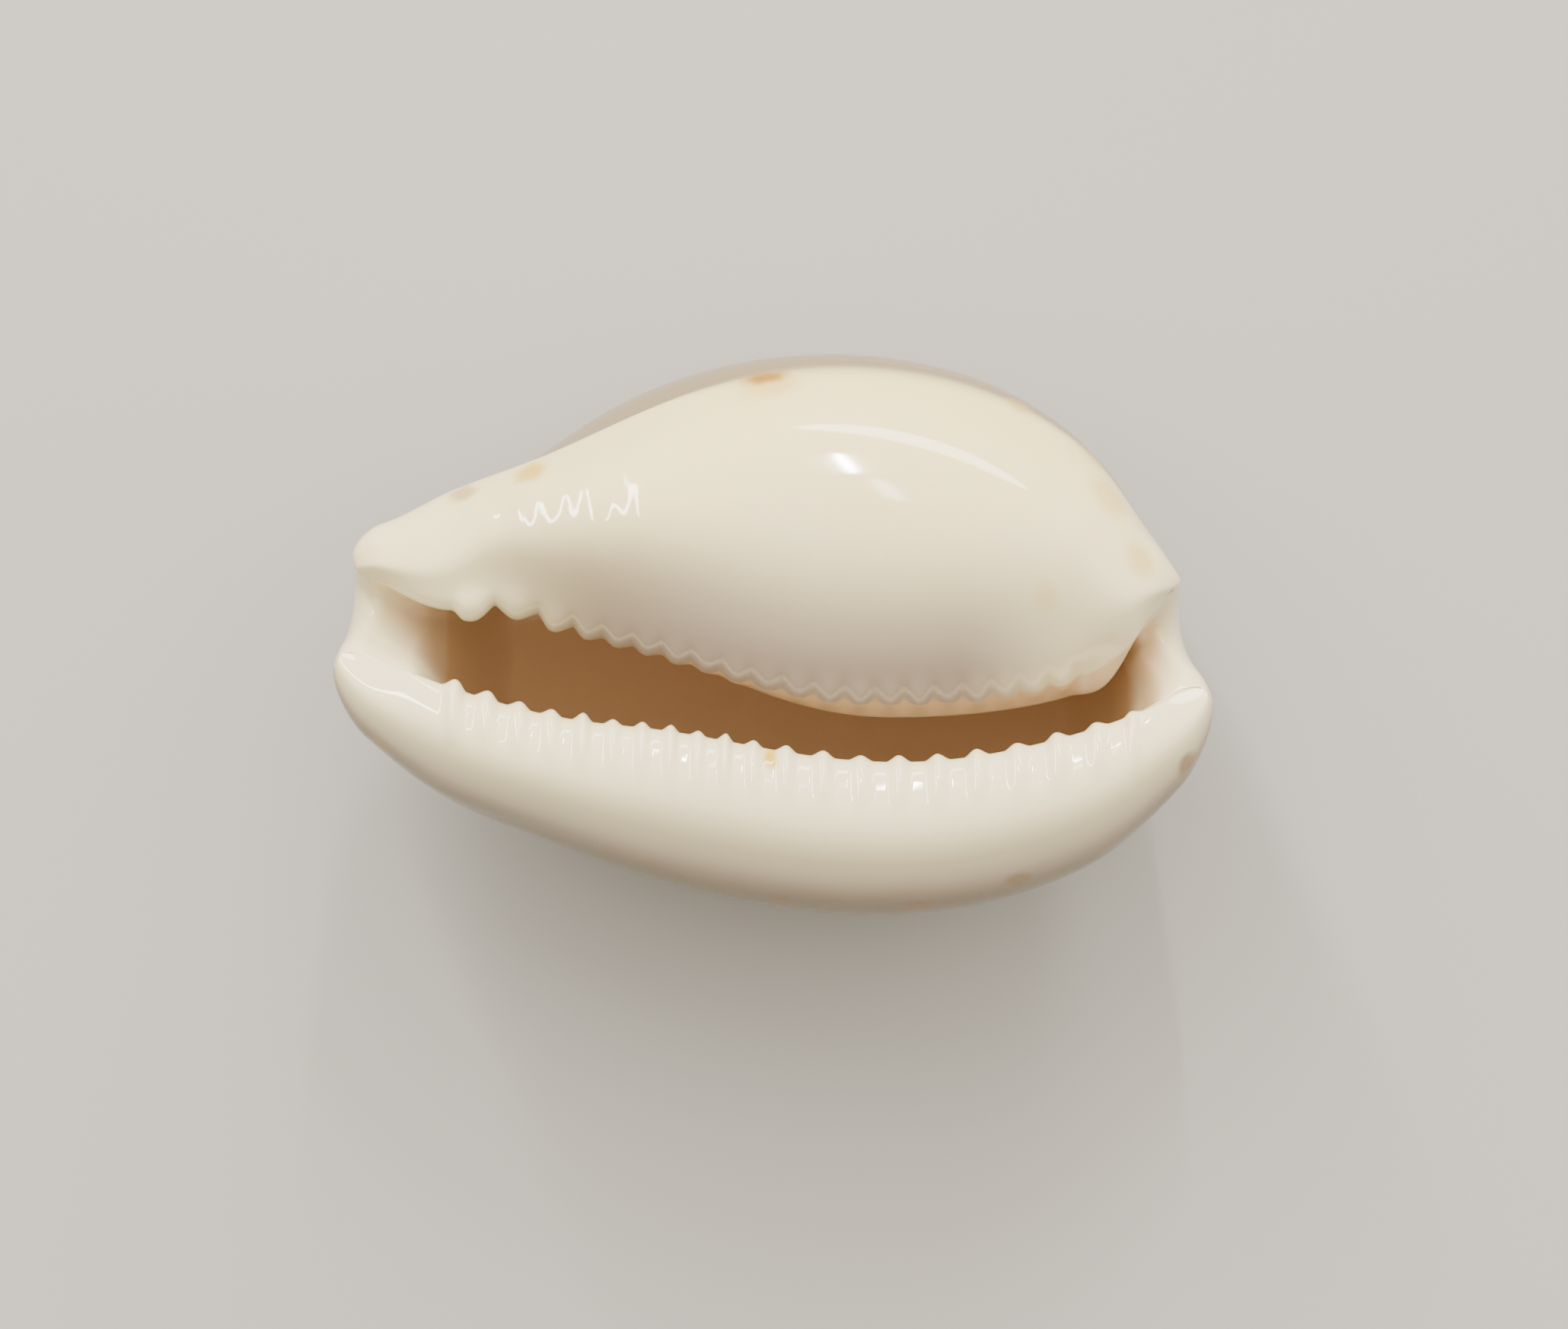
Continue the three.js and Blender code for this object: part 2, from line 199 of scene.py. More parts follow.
def outside_rails(canal):
    """The 13 rails of the outside, from the outer lip, under the back, to the inner lip.
    Between a lip and its margin, a rail stands at a share of the width and of the fall."""
    inner_x, back_x = rail(INNER_X), rail(BACK_X)
    outer_top, inner_top = rail(OUTER_TOP_Z), rail(INNER_TOP_Z)
    lip_y, inner_lip_y = rail(OUTER_LIP_Y), rail(INNER_LIP_Y)
    set_back = np.sign(stations) * LIP_SET_BACK * smooth_step(SET_BACK_STARTS, TIP, np.abs(stations))
    lip_z = outer_top - mix(OUTER_LIP_DROP, OUTER_END_DROP, canal)
    rises = np.maximum(canal, smooth_step(LIP_RISES, GUTTER_FULL, -stations))
    inner_lip_z = inner_top - mix(INNER_LIP_DROP, INNER_END_DROP, rises)
    margin = place(stations, rail(OUTER_MARGIN_Y), rail(OUTER_MARGIN_Z))
    back = place(back_x, rail(BACK_Y), back_height(back_x))
    body = place(inner_x, rail(BODY_MARGIN_Y), rail(BODY_MARGIN_Z))
    ridge = place(inner_x, rail(RIDGE_EDGE_Y), rail(RIDGE_EDGE_Z))
    width = lip_y - margin[:, 1]
    fall = outer_top - margin[:, 2]
    inner_width = ridge[:, 1] - inner_lip_y
    inner_fall = inner_top - ridge[:, 2]
    margin_z = mix(margin[:, 2], body[:, 2], 0.5)

    def quarter(side):
        return place(
            mix(back[:, 0], side[:, 0], 0.6),
            mix(back[:, 1], side[:, 1], QUARTER_ACROSS),
            mix(back[:, 2], margin_z, QUARTER_UP),
        )

    return [
        place(stations - set_back, lip_y, lip_z),
        place(stations - 0.6 * set_back, lip_y - 0.41 * width, outer_top),
        place(stations - 0.15 * set_back, lip_y - 0.82 * width, outer_top - 0.31 * fall),
        margin,
        quarter(margin),
        back,
        quarter(body),
        body,
        ridge,
        place(inner_x, ridge[:, 1] - 0.18 * inner_width, ridge[:, 2] + 0.68 * inner_fall),
        place(inner_x - 0.3 * set_back, ridge[:, 1] - mix(0.48, 0.58, canal) * inner_width, inner_top),
        place(inner_x - 0.6 * set_back, inner_lip_y + 0.17 * inner_width,
              mix(inner_lip_z, inner_top, mix(0.6, 0.78, canal))),
        place(inner_x - 0.8 * set_back, inner_lip_y, inner_lip_z),
    ]


def hollow_rails(outside):
    """The 11 rails of the inside of the body, in the same order as the outside's."""
    outer_lip, inner_lip = outside[0], outside[12]
    middle = place(0 * stations, outside[5][:, 1], 0 * stations + HOLLOW_MIDDLE_Z)

    def inwards(rail_points, wall):
        way = (middle - rail_points) * [0, 1, 1]
        return rail_points + wall * way / np.linalg.norm(way, axis=1, keepdims=True)

    def beside(lip, y, z):
        return lip + place(0 * stations, y + 0 * stations, z + 0 * stations)

    leans = FOOT_LEANS * smooth_step(*FOOT_LEANS_BETWEEN, stations)
    ledge = smooth_step(*LEDGE_BETWEEN, stations)
    foot_y = INNER_FOOT[0] - leans + LEDGE[0] * ledge
    foot_z = INNER_FOOT[1] + LEDGE[1] * ledge
    under_ridge = inwards(outside[8], BODY_WALL + RIDGE_THICKER)
    width = under_ridge[:, 1] - inner_lip[:, 1]
    return [
        *[beside(outer_lip, y, z) for y, z in OUTER_ROLL],
        inwards(outside[3], OUTER_WALL),
        inwards(outside[4], BACK_WALL + OUTER_QUARTER_THICKER),
        inwards(outside[5], BACK_WALL),
        inwards(outside[6], BACK_WALL + BODY_QUARTER_THICKER),
        inwards(outside[7], BODY_WALL),
        under_ridge,
        *[beside(inner_lip, share * width, z) for share, z in INNER_ROLL],
        beside(inner_lip, foot_y, foot_z),
    ]


def gutter_rails(outside):
    """The same 11 rails where the inside is a gutter: a gentle slope down from the outer lip,
    and a steep one up to the inner lip. It deepens inwards as far as the back allows."""
    outer_lip, inner_lip = outside[0], outside[12]
    from_tip = np.maximum(TIP - np.abs(stations), 0)
    deepest = mix(outer_lip[:, 2], inner_lip[:, 2], 0.5) - outside[5][:, 2] - GUTTER_WALL
    depth = np.minimum(GUTTER_END_DEPTH + GUTTER_DEEPENS * from_tip**1.6, deepest)
    rails = []
    for i, share in enumerate(GUTTER_SHARES, 1):
        over = math.sin(math.pi * share / 2) ** 0.9
        down = math.sin(math.pi * share**1.2) ** mix(1.0, 0.8, over)
        points = mix(outer_lip, inner_lip, over)
        points[:, 2] -= depth * down
        points[:, 0] = mix(outside[i][:, 0], points[:, 0], 0.25)
        rails.append(points)
    return rails


def places_across():
    """Places across the sheet, counted in rails from the outer lip's."""
    places = [0.0]
    for rail_number, faces in FACES_TO_RAIL:
        places.extend(np.linspace(places[-1], rail_number, faces + 1)[1:])
    return np.array(places)


across = places_across()


def shell_surface():
    """Both sides of the sheet: arrays of rings by places across by x, y, z."""
    canal = smooth_step(GUTTER_STARTS, GUTTER_FULL, np.abs(stations - GUTTER_MIDDLE_X))
    outside = outside_rails(canal)
    inside = [
        mix(hollow, gutter, canal[:, None])
        for hollow, gutter in zip(hollow_rails(outside), gutter_rails(outside))
    ]
    rails = np.array(outside + inside[::-1])
    middle_ring = rails[:, np.argmin(np.abs(stations - BACK_MIDDLE_X))]
    steps = np.linalg.norm(np.roll(middle_ring, -1, axis=0) - middle_ring, axis=1)
    knots = np.concatenate([[0], np.cumsum(steps)])
    rail_numbers = np.arange(len(rails) + 1)
    sides = []
    for at in (across, len(rails) - across):
        weights = closed_weights(knots[:-1], knots[-1], np.interp(at, rail_numbers, knots))
        sides.append(np.einsum("sk,kni->nsi", weights, rails))
    middle = mix(sides[0], sides[1], 0.5)
    return [mix(middle, side, rim_thin[:, None, None]) for side in sides]


outer_side, inner_side = shell_surface()
for side in (outer_side, inner_side):
    side[:, :, 2] = np.maximum(side[:, :, 2], 0)


def lengths_across(side):
    """The distance of each place from the outer lip, along the surface."""
    steps = np.linalg.norm(np.diff(side, axis=1), axis=2)
    return np.concatenate([np.zeros((len(side), 1)), np.cumsum(steps, axis=1)], axis=1)


def around_ring(outside, inside):
    """Values on the two sides of the sheet, joined into one loop round each ring."""
    return np.concatenate([outside, inside[:, -2:0:-1]], axis=1)


# The teeth: how far apart they stand at each station, and where each row starts and ends.
TOOTH_STATION = [-11, -8.5, -6.5, -3.5, -1.5, 1, 4, 8, 12.5]
OUTER_PITCH = [1.13, 1.1, 1.05, 0.94, 0.9, 1.27, 1.29, 1.37, 1.3]
INNER_PITCH = [1.75, 1.45, 1.0, 0.99, 1.02, 1.08, 1.0, 0.96, 1.1]
OUTER_FIRST = -10.8
INNER_FIRST = -10.2
OUTER_ROW = [-11.4, -10.9, 12.0, 12.6]
INNER_ROW = [-10.9, -10.5, 9.6, 10.9]
# How far a tooth's edge and its rib reach from the edge of the lip: the rib fades between
# two distances on the outside, and between two on the inside.
EDGE_REACH = 0.6
OUTER_RIB_FADES = [(1.0, 2.4), (0.2, 1.4)]
INNER_RIB_FADES = [(0.1, 1.2), (0.4, 1.8)]


def tooth_count_at(x, pitch, first):
    """How many teeth stand between the first and each place, as a number that rises smoothly."""
    fine = np.linspace(-16, 16, 1601)
    rate = 1 / np.interp(fine, TOOTH_STATION, pitch)
    count = np.concatenate([[0], np.cumsum((rate[1:] + rate[:-1]) / 2 * np.diff(fine))])
    return np.interp(x, fine, count) - np.interp(first, fine, count)


def row_share(x, row):
    """1 along a row, fading to 0 at both of its ends."""
    return smooth_step(row[0], row[1], x) * (1 - smooth_step(row[2], row[3], x))


def tooth_share(past_lip, rib_fades):
    """How much of a tooth stands up at a distance past the lip's edge, and how much of its rib."""
    edge = np.exp(-(past_lip / EDGE_REACH) ** 2)
    outside = 1 - smooth_step(*rib_fades[0], -past_lip)
    inside = 1 - smooth_step(*rib_fades[1], past_lip)
    return edge, outside * inside


from_outer_out = lengths_across(outer_side)
from_outer_in = lengths_across(inner_side)
from_inner_out = from_outer_out[:, -1:] - from_outer_out
from_inner_in = from_outer_in[:, -1:] - from_outer_in
all_x = around_ring(outer_side, inner_side)[:, :, 0]
past_outer = around_ring(-from_outer_out, from_outer_in)
past_inner = around_ring(-from_inner_out, from_inner_in)
outer_edge, outer_rib = tooth_share(past_outer, OUTER_RIB_FADES)
inner_edge, inner_rib = tooth_share(past_inner, INNER_RIB_FADES)

# How far inside each place is: 0 on the enamel of the lips, 1 in the body, and between
# them on the gutters' inner slopes, fading out towards the tips.
# The colour drawn from it darkens deeper in: partly the inside's own colour, partly painted shade in the
# hollow and the gutters.
BODY_ROW = [-12.0, -10.3, 11.4, 12.9]
GUTTER_ROW = [-14.3, -11.5, 11.5, 13.9]
GUTTER_SHADE = 0.4
inner_x = inner_side[:, :, 0]
from_inner_start = mix(0.2, 2.2, smooth_step(9.5, 12.3, inner_x)) * (1 - smooth_step(9, 11, -inner_x))
body_share = smooth_step(0.1, 1.5, from_outer_in) * smooth_step(0, 3.2, from_inner_in - from_inner_start)
body_share = body_share * row_share(inner_x, BODY_ROW)
gutter_share = GUTTER_SHADE * smooth_step(0.5, 3.0, from_outer_in) * row_share(inner_x, GUTTER_ROW)
gutter_share = gutter_share * smooth_step(10, 11, np.abs(inner_x))
inside_share = np.maximum(body_share, gutter_share)

# Which part of the outside is back, between the two callused margins: 0 on the base. Its
# edge is crisp in front and softer behind. Places across are counted in rails.
OUTER_MARGIN_RAIL = 3
RIDGE_RAIL = 8
soften = smooth_step(-6, 0, stations)[:, None]
# On the outer lip's side the beige starts early, low on the margin, where it is partly painted shade
# along the low edge.
back_and_shade_starts = smooth_step(1.5, 2.8, across)
back_ends = smooth_step(7.9 - 0.3 * soften, 8.05 + 0.4 * soften, across)
back_share = back_and_shade_starts * (1 - back_ends)
# Where a painted shade lies low on the outer lip's side, over its margin.
painted_margin_share = smooth_step(1.3, 2.5, across) * (1 - smooth_step(5, 6, across))
painted_margin_share = np.broadcast_to(painted_margin_share, from_outer_out.shape)
from_welt = from_outer_out - from_outer_out[:, [np.argmin(np.abs(across - RIDGE_RAIL))]]
from_margin = from_outer_out - from_outer_out[:, [np.argmin(np.abs(across - OUTER_MARGIN_RAIL))]]
onto_back = np.minimum(-from_welt, from_margin)

# The callus ends in a low welt on the inner lip's side, most of all towards the front.
welt = smooth_step(-0.2, 0.1, from_welt) * np.exp(-(np.maximum(from_welt, 0) / 1.1) ** 2)
welt = welt * mix(0.35, 1, 1 - smooth_step(-3, 1, stations))[:, None]
welt = welt * smooth_step(-13.5, -11, stations)[:, None] * (1 - smooth_step(10, 12.5, stations))[:, None]

# Fine ripples in the enamel, along the brow of the inner lip's side at the front end.
BROW_Y = 4.3
BROW_WIDTH = 1.4
BROW_ABOVE = 11
RIPPLE_ROW = [-11, -10, -4.5, -3]
brow = np.exp(-((outer_side[:, :, 1] - BROW_Y) / BROW_WIDTH) ** 2) * (outer_side[:, :, 2] > BROW_ABOVE)
ripple = brow * row_share(outer_side[:, :, 0], RIPPLE_ROW)

# Where the tan wall under the inner lip's enamel shows. It runs on past the last tooth.
INNER_BARE_ROW = [-10.9, -10.5, 12.5, 14]

point_values = {
    "outer_tooth": tooth_count_at(all_x, OUTER_PITCH, OUTER_FIRST),
    "outer_edge": outer_edge * row_share(all_x, OUTER_ROW),
    "outer_rib": outer_rib * row_share(all_x, OUTER_ROW),
    "inner_tooth": tooth_count_at(all_x, INNER_PITCH, INNER_FIRST),
    "inner_edge": inner_edge * row_share(all_x, INNER_ROW),
    "inner_rib": inner_rib * row_share(all_x, INNER_ROW),
    "past_outer_lip": past_outer,
    "past_inner_lip": past_inner,
    "inside": around_ring(0 * inside_share, inside_share),
    "outer_bare": row_share(all_x, OUTER_ROW),
    "inner_bare": row_share(all_x, INNER_BARE_ROW),
    "ripple": around_ring(ripple, 0 * ripple),
    "back": around_ring(back_share, 0 * back_share),
    "painted_margin_share": around_ring(painted_margin_share, 0 * painted_margin_share),
    "onto_back": around_ring(onto_back, 0 * onto_back),
    "welt": around_ring(welt, 0 * welt),
}


def shell_mesh():
    """The closed mesh. On the first and last ring the two sides meet, so they share points."""
    loop = around_ring(outer_side, inner_side)
    rings, around = loop.shape[:2]
    half = outer_side.shape[1]
    ids = np.arange(rings * around).reshape(rings, around)
    for end in (0, -1):
        ids[end, half:] = ids[end, half - 2:0:-1]
    nearer, farther = ids[:-1], ids[1:]
    quads = np.stack(
        [nearer, np.roll(nearer, -1, 1), np.roll(farther, -1, 1), farther], axis=-1
    ).reshape(-1, 4)
    used, quads = np.unique(quads, return_inverse=True)
    mesh = bpy.data.meshes.new("shell")
    points = loop.reshape(-1, 3)[used] * MM
    mesh.from_pydata(points.tolist(), [], quads.reshape(-1, 4).tolist())
    for name, values in point_values.items():
        attribute = mesh.attributes.new(name, "FLOAT", "POINT")
        attribute.data.foreach_set("value", values.reshape(-1)[used].astype(np.float32))
    mesh.polygons.foreach_set("use_smooth", np.ones(len(mesh.polygons), bool))
    mesh.update()
    return mesh


shell = bpy.data.objects.new("cowrie_shell", shell_mesh())
bpy.context.scene.collection.objects.link(shell)


# ---- The porcelain ---------------------------------------------------------------------
# The outside is enamel that the animal laid down: milk-white on the base, creamier towards
# the sides, beige on the back, with a few rust-brown freckles along the margins.

def add(tree, kind, inputs=None, **settings):
    """A node with its settings, and its inputs set or joined to other nodes' outputs."""
    node = tree.nodes.new(kind)
    for name, value in settings.items():
        setattr(node, name, value)
    for key, value in (inputs or {}).items():
        if isinstance(value, bpy.types.NodeSocket):
            tree.links.new(value, node.inputs[key])
        else:
            node.inputs[key].default_value = value
    return node


def calculate(tree, operation, a, b=0.0, c=0.0):
    """One sum, on numbers or outputs."""
    return add(tree, "ShaderNodeMath", {0: a, 1: b, 2: c}, operation=operation).outputs[0]


def blend_colours(tree, share, first, second):
    """A colour between two. The node's colour inputs are numbers 6 and 7, its output number 2."""
    node = add(tree, "ShaderNodeMix", {"Factor": share}, data_type="RGBA")
    for socket, value in ((node.inputs[6], first), (node.inputs[7], second)):
        if isinstance(value, bpy.types.NodeSocket):
            tree.links.new(value, socket)
        else:
            socket.default_value = (*value, 1)
    return node.outputs[2]


def ease(tree, value, low, high):
    """0 below low, 1 above high, smooth between."""
    node = add(
        tree, "ShaderNodeMapRange",
        {"Value": value, "From Min": low, "From Max": high},
        interpolation_type="SMOOTHSTEP",
    )
    return node.outputs["Result"]


# The finish, and its patterns. A pattern's scale is the number of waves or cells to a metre.
GLAZE_ROUGHNESS = 0.07
GLAZE_IOR = 1.55
TRANSLUCENT_SHARE = 0.25
TRANSLUCENT_DEPTH = 0.15 * MM
CLOUD_SCALE = 110.0
WOBBLE_SCALE = 1500.0
WOBBLE_SIZE = 0.35 * MM
SPOT_SCALE = 620.0
RIPPLE_SCALE = 900.0
RIPPLE_HEIGHT = 0.16 * MM

MILK = (0.87, 0.79, 0.54)
CREAM = (0.88, 0.76, 0.38)
BEIGE = (0.26, 0.19, 0.095)
PALE_SPOT = (0.42, 0.35, 0.21)
RUST = (0.36, 0.17, 0.004)
AMBER = (0.68, 0.44, 0.035)
UMBER = (0.33, 0.18, 0.05)
ROSE = (0.82, 0.68, 0.48)
TAN = (0.68, 0.48, 0.27)
BROWN = (0.66, 0.46, 0.27)
LIP_SHADE_AND_SHOW_THROUGH = (0.43, 0.385, 0.45)
MARGIN_PAINTED_SHADE = (0.68, 0.57, 0.60)

# Freckles: middle x and y in millimetres seen from above, length, width, turn in degrees,
# strength and colour. Each reaches as far up and down the side of the shell as its height.
FRECKLE_HEIGHT = 1.2 * MM
FRECKLES = [
    (-0.10, 8.45, 1.3, 0.7, 12, 0.5, AMBER),
    (-0.26, 8.68, 0.85, 0.36, 12, 1.0, RUST),
    (-8.2, 5.45, 0.7, 0.5, 30, 0.9, AMBER),
    (-10.5, 4.70, 0.6, 0.34, 25, 0.6, RUST),
    (-12.3, 3.85, 0.6, 0.34, 25, 0.65, RUST),
    (8.4, 7.7, 0.6, 0.36, -35, 0.5, AMBER),
    (10.9, 6.0, 0.9, 0.55, -60, 0.45, AMBER),
    (11.4, 4.6, 1.1, 0.6, -55, 0.45, AMBER),
    (12.45, 2.45, 0.8, 0.5, -65, 0.5, AMBER),
    (14.05, -4.45, 0.5, 0.34, 55, 0.75, UMBER),
    (8.35, -8.4, 0.55, 0.36, 20, 0.7, UMBER),
    (4.95, -9.32, 0.55, 0.3, 5, 0.8, UMBER),
    (0.25, -9.1, 0.5, 0.3, 0, 0.7, UMBER),
    (-0.06, -4.3, 0.3, 0.45, 0, 1.0, AMBER),
    (-13.4, -3.9, 0.6, 0.5, -50, 0.25, AMBER),
    (9.2, 1.2, 0.5, 0.7, 10, 0.25, AMBER),
]


def freckle_share(tree, wobbly, freckle, height):
    """How strongly one freckle colours each place."""
    x, y, length, width, turn, strength = freckle[:6]
    local = add(
        tree, "ShaderNodeMapping",
        {
            "Vector": wobbly,
            "Location": (x * MM, y * MM, height),
            "Rotation": (0, 0, math.radians(turn)),
            "Scale": (length * MM, width * MM, FRECKLE_HEIGHT),
        },
        vector_type="TEXTURE",
    )
    away = add(tree, "ShaderNodeVectorMath", {0: local.outputs[0]}, operation="LENGTH")
    return calculate(tree, "MULTIPLY", ease(tree, away.outputs["Value"], 1.25, 0.35), strength)


def surface_height(x, y):
    """The height of the upper half of the outside under a point seen from above."""
    points = outer_side.reshape(-1, 3)
    near = (points[:, 0] - x) ** 2 + (points[:, 1] - y) ** 2
    upper = points[:, 2] > min(BODY_MARGIN_Z)
    return points[np.argmin(np.where(upper, near, np.inf)), 2] * MM


def porcelain():
    """The shell's one material. It reads the values that the surface carries at its points."""
    material = bpy.data.materials.new("cowrie_porcelain")
    material.use_nodes = True
    tree = material.node_tree
    tree.nodes.clear()
    place_on = add(tree, "ShaderNodeTexCoord").outputs["Object"]

    def read(name):
        return add(tree, "ShaderNodeAttribute", attribute_name=name).outputs["Fac"]

    clouds = add(
        tree, "ShaderNodeTexNoise",
        {"Vector": place_on, "Scale": CLOUD_SCALE, "Detail": 3.0, "Roughness": 0.5},
    ).outputs["Fac"]
    wobble = add(
        tree, "ShaderNodeTexNoise",
        {"Vector": place_on, "Scale": WOBBLE_SCALE, "Detail": 2.0},
    ).outputs["Color"]
    wobble = add(
        tree, "ShaderNodeVectorMath", {0: wobble, 1: (-0.5, -0.5, -0.5)}, operation="ADD"
    ).outputs[0]
    wobbly = add(
        tree, "ShaderNodeVectorMath",
        {0: wobble, 1: (WOBBLE_SIZE,) * 3, 2: place_on},
        operation="MULTIPLY_ADD",
    ).outputs[0]

    # The base: milk-white by the outer lip, creamier across to the inner lip's side.
    across_shell = add(tree, "ShaderNodeSeparateXYZ", {0: place_on}).outputs
    creamy = ease(tree, across_shell["Y"], -2 * MM, 8 * MM)
    creamy = calculate(tree, "ADD", creamy, calculate(tree, "SUBTRACT", clouds, 0.5))
    colour = blend_colours(tree, creamy, MILK, CREAM)

    # Towards the inner lip the colour darkens: partly painted shade where the base turns away from the
    # light, partly the dark inside showing through the thinning enamel.
    shade = ease(tree, read("past_inner_lip"), -6.2, -1.0)
    shade = calculate(tree, "MULTIPLY", shade, ease(tree, across_shell["X"], -11 * MM, -5 * MM))
    shade = calculate(tree, "MULTIPLY", shade, ease(tree, across_shell["X"], 11 * MM, 6 * MM))
    shaded = add(
        tree, "ShaderNodeVectorMath", {0: colour, 1: LIP_SHADE_AND_SHOW_THROUGH}, operation="MULTIPLY"
    ).outputs[0]
    colour = blend_colours(tree, shade, colour, shaded)

    # Painted shade: darker and rosier low on the outer lip's side, over its margin.
    shaded = add(
        tree, "ShaderNodeVectorMath", {0: colour, 1: MARGIN_PAINTED_SHADE}, operation="MULTIPLY"
    ).outputs[0]
    colour = blend_colours(tree, read("painted_margin_share"), colour, shaded)

    # The back: beige with soft pale spots, behind an uneven edge.
    spots = add(
        tree, "ShaderNodeTexVoronoi",
        {"Vector": wobbly, "Scale": SPOT_SCALE, "Smoothness": 0.2},
        feature="SMOOTH_F1",
    ).outputs["Distance"]
    pale = calculate(
        tree, "MULTIPLY", ease(tree, spots, 0.42, 0.22), ease(tree, read("onto_back"), 3.5, 6.0)
    )
    back_colour = blend_colours(tree, pale, BEIGE, PALE_SPOT)
    edge = calculate(tree, "MULTIPLY_ADD", clouds, 0.3, read("back"))
    colour = blend_colours(tree, ease(tree, edge, 0.2, 1.0), colour, back_colour)

    for freckle in FRECKLES:
        share = freckle_share(tree, wobbly, freckle, surface_height(*freckle[:2]))
        colour = blend_colours(tree, share, colour, freckle[6])

    # The lips: the enamel of the teeth ends over a tan wall, which shows between them.
    for lip, tooth_reach, strength in (("outer", 0.25, 0.6), ("inner", 0.4, 1.0)):
        wave = calculate(tree, "COSINE", calculate(tree, "MULTIPLY", read(lip + "_tooth"), 2 * math.pi))
        crown = calculate(tree, "MULTIPLY_ADD", wave, 0.5, 0.5)
        crown = calculate(tree, "MULTIPLY", crown, tooth_reach)
        past = calculate(tree, "SUBTRACT", read(f"past_{lip}_lip"), crown)
        bare = calculate(tree, "MULTIPLY", ease(tree, past, -0.2, 0.2), strength)
        bare = calculate(tree, "MULTIPLY", bare, read(lip + "_bare"))
        colour = blend_colours(tree, bare, colour, TAN)

    # The inside: rosy just past the lips and rims, then tan, then warm brown. This is partly the
    # inside's own colour and partly painted: shade deeper into the hollow and the gutters, and the warm
    # light that comes through the thin walls.
    inside = read("inside")
    colour = blend_colours(tree, ease(tree, inside, 0.0, 0.3), colour, ROSE)
    colour = blend_colours(tree, ease(tree, inside, 0.2, 0.6), colour, TAN)
    colour = blend_colours(tree, ease(tree, inside, 0.5, 1.0), colour, BROWN)

    # The ripples, drawn out across the shell.
    drawn_out = add(
        tree, "ShaderNodeVectorMath", {0: place_on, 1: (1.0, 0.4, 0.4)}, operation="MULTIPLY"
    ).outputs[0]
    ripple = add(
        tree, "ShaderNodeTexNoise",
        {"Vector": drawn_out, "Scale": RIPPLE_SCALE, "Detail": 1.0, "Roughness": 0.45},
    ).outputs["Fac"]
    ripple = calculate(tree, "MULTIPLY", calculate(tree, "SUBTRACT", ripple, 0.2), read("ripple"))
    bump = add(
        tree, "ShaderNodeBump",
        {"Height": ripple, "Strength": 1.0, "Distance": RIPPLE_HEIGHT},
    ).outputs["Normal"]
    shader = add(
        tree, "ShaderNodeBsdfPrincipled",
        {
            "Base Color": colour,
            "Roughness": GLAZE_ROUGHNESS,
            "IOR": GLAZE_IOR,
            "Subsurface Weight": TRANSLUCENT_SHARE,
            "Subsurface Radius": (1.0, 0.6, 0.35),
            "Subsurface Scale": TRANSLUCENT_DEPTH,
            "Normal": bump,
        },
    )
    output = add(tree, "ShaderNodeOutputMaterial")
    tree.links.new(shader.outputs[0], output.inputs["Surface"])
    return material


# ---- The teeth -------------------------------------------------------------------------
# Short ribs of enamel that cross both lips. Each stands out most at the edge of the mouth
# and fades over the base. They are raised out of the shell's own surface.

# Between these places along the shell, the front teeth's sizes change into the rear ones'.
FRONT_TEETH_END = (-10.5, -4)


